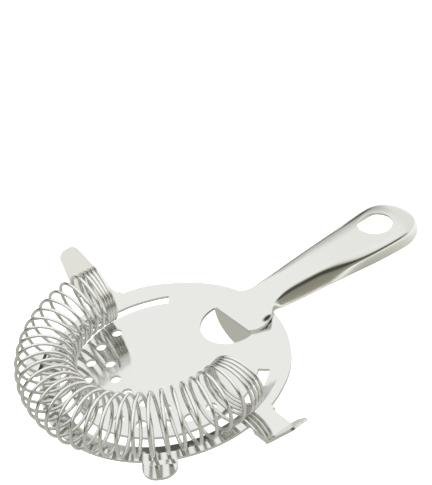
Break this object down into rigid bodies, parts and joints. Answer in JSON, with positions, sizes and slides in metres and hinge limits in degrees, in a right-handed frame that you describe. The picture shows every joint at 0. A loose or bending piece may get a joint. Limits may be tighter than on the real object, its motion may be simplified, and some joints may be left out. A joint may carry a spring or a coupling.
{
  "type": "hawthorne strainer",
  "caption": "Four-prong bar strainer with a perforated disc, a channel handle with a hanging hole, and a coil spring round its front.",
  "frame": {"origin": "centre of the round plate, on the face that carries the spring", "axes": "+X along the handle, +Z out of the plate on the spring's side, +Y to the left side prong"},
  "size_m": [0.1468, 0.1172, 0.0307],
  "materials": {
    "polished_plate": "polished stainless steel sheet",
    "polished_handle": "polished stainless steel sheet",
    "spring_wire": "bright drawn stainless spring wire"
  },
  "bodies": {
    "strainer": {"strainer_plate": "polished_plate", "handle": "polished_handle"},
    "spring": {"coil_spring": "spring_wire"}
  },
  "joints": [
    {"name": "spring_squeeze", "type": "slide", "parent": "strainer", "child": "spring", "axis": [1, 0, 0], "range_m": [0, 0.003], "stiffness_N_per_m": 600, "deforming": ["coil_spring"]}
  ]
}
